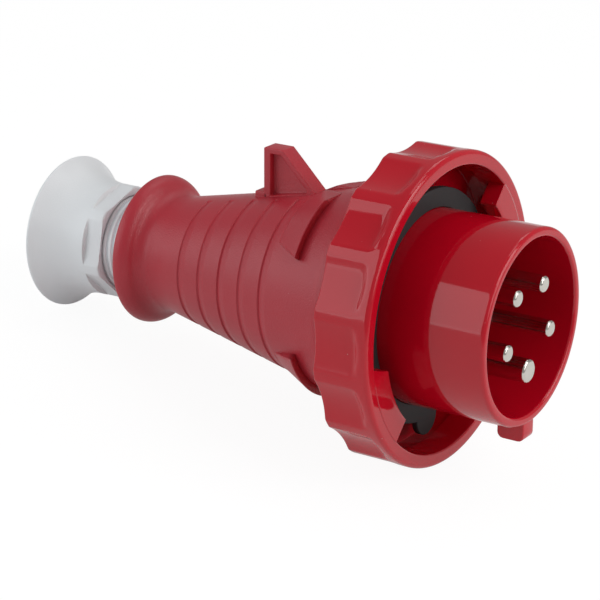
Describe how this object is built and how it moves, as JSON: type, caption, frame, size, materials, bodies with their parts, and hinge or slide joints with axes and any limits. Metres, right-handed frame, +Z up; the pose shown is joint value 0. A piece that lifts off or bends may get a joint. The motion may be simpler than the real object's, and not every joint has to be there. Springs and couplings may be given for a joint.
{
  "type": "industrial pin and sleeve plug",
  "caption": "Round industrial pin and sleeve plug with a fluted bayonet locking ring, ribbed tapering housing and white cable gland.",
  "frame": {"origin": "centre of the bounding box's bottom face, on the surface that the plug lies on", "axes": "+X from the gland towards the pins, level, with the plug's own axis tipped up by 10.36 degrees; +Y to the left of the pins seen from behind the plug; +Z up, with the key at the bottom"},
  "size_m": [0.1698, 0.092, 0.0927],
  "materials": {
    "gloss_red": "smooth, glossy moulding",
    "satin_red": "fine spark-eroded moulding texture",
    "gland_white": "satin moulding",
    "dark_grey": "satin moulding",
    "black_rubber": "matt",
    "grey_rubber": "matt",
    "nickel": "nickel-plated brass, bright",
    "steel": "zinc-plated"
  },
  "bodies": {
    "plug_body": {"front_housing": "gloss_red", "flange_gasket": "black_rubber", "housing_o_ring": "black_rubber", "contact_carrier": "dark_grey", "pin_retainer": "dark_grey", "insert_screw_a": "steel", "insert_screw_b": "steel", "pin_earth": "nickel", "pin_l1": "nickel", "pin_l2": "nickel", "pin_l3": "nickel", "pin_neutral": "nickel", "terminal_screw_earth": "steel", "terminal_screw_l1": "steel", "terminal_screw_l2": "steel", "terminal_screw_l3": "steel", "terminal_screw_neutral": "steel", "rear_housing": "satin_red", "gland_body": "gland_white", "gland_o_ring": "black_rubber", "gland_grommet": "grey_rubber"},
    "ring": {"locking_ring": "gloss_red"},
    "washer": {"thrust_washer": "gland_white"},
    "nut": {"gland_nut": "gland_white"}
  },
  "joints": [
    {"name": "ring_turn", "type": "hinge", "parent": "plug_body", "child": "ring", "pos_m": [0.04499, 0, 0.04609], "axis": [0.9837, 0, 0.1798], "continuous": true},
    {"name": "washer_slide", "type": "slide", "parent": "plug_body", "child": "washer", "axis": [-0.9837, 0, -0.1798], "range_m": [0, 0.005]},
    {"name": "nut_turn", "type": "hinge", "parent": "washer", "child": "nut", "pos_m": [-0.06814, 0, 0.02542], "axis": [-0.9837, 0, -0.1798], "range_deg": [0, 900]}
  ],
  "couplings": [
    {"joint": "nut_turn", "follows": "washer_slide", "rad_per_m": 3141.6}
  ]
}
